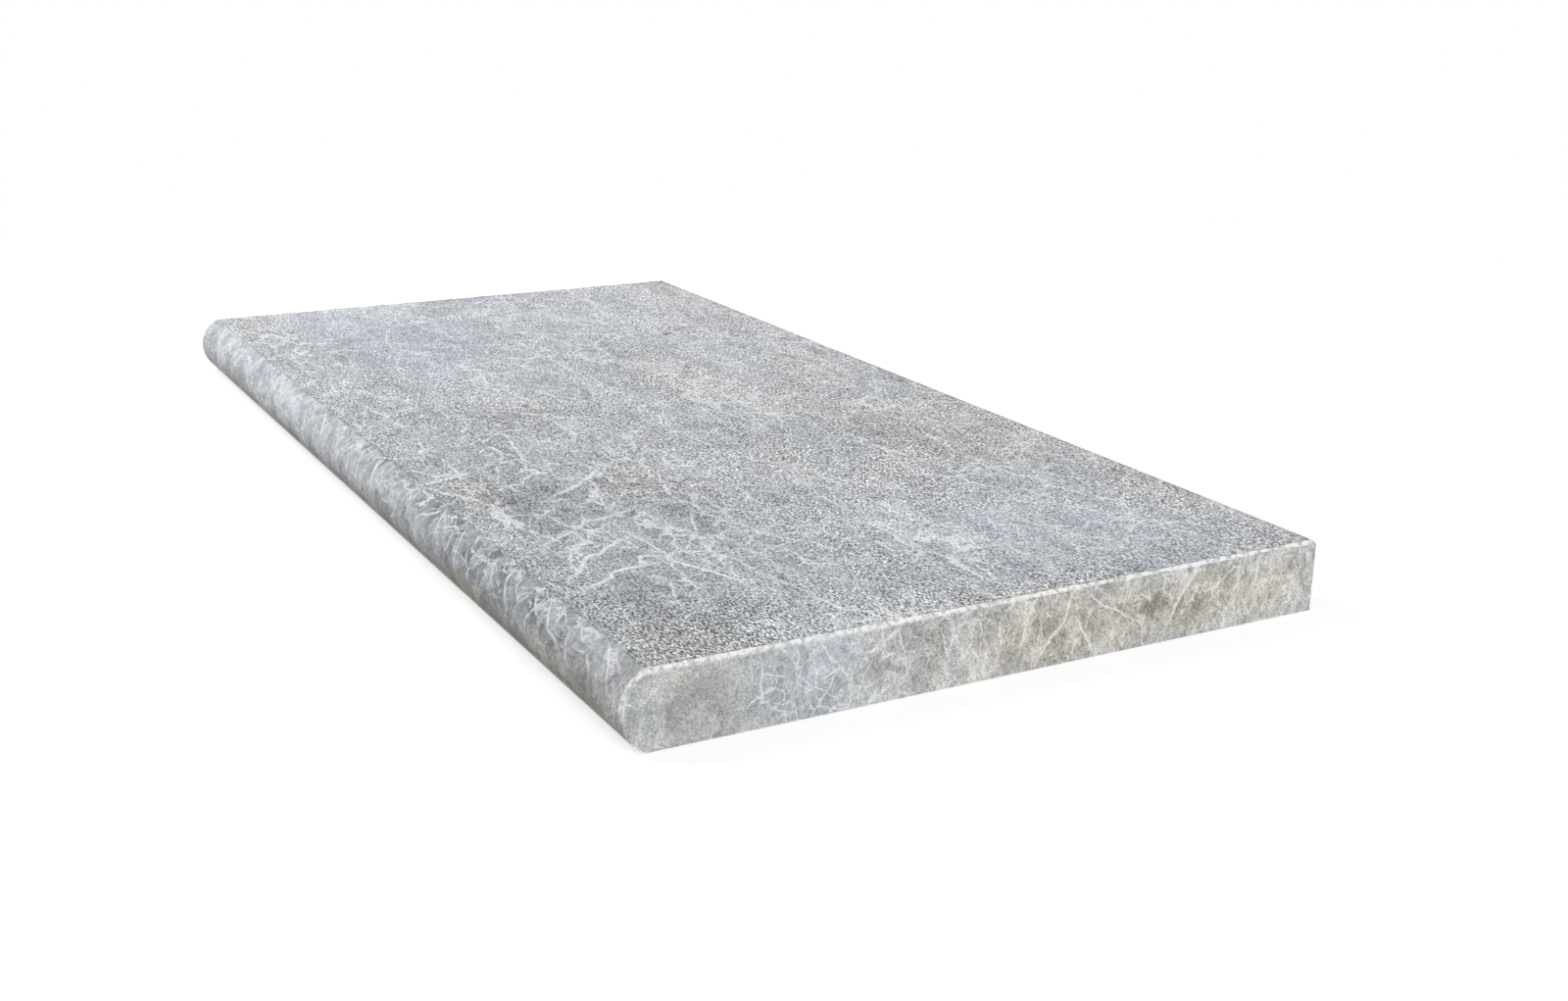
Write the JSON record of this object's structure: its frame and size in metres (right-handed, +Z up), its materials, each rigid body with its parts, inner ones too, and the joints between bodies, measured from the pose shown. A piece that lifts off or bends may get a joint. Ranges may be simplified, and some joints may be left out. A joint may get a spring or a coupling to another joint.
{
  "type": "marble pool coping",
  "caption": "Rectangular grey marble pool coping slab with a sandblasted walking face, a honed bullnose along the pool-side edge and sawn, lightly bevelled ends.",
  "frame": {"origin": "middle of the slab's box, on the bed face that lies on the mortar", "axes": "+X along the coping, +Y from the pool-side nose towards the deck, +Z up out of the walking face"},
  "size_m": [0.61, 0.305, 0.03],
  "materials": {
    "marble": "grey veined marble, sandblasted on the walking face, honed on the nose and ends, sawn underneath"
  },
  "bodies": {
    "root": {"coping_slab": "marble"}
  },
  "joints": []
}
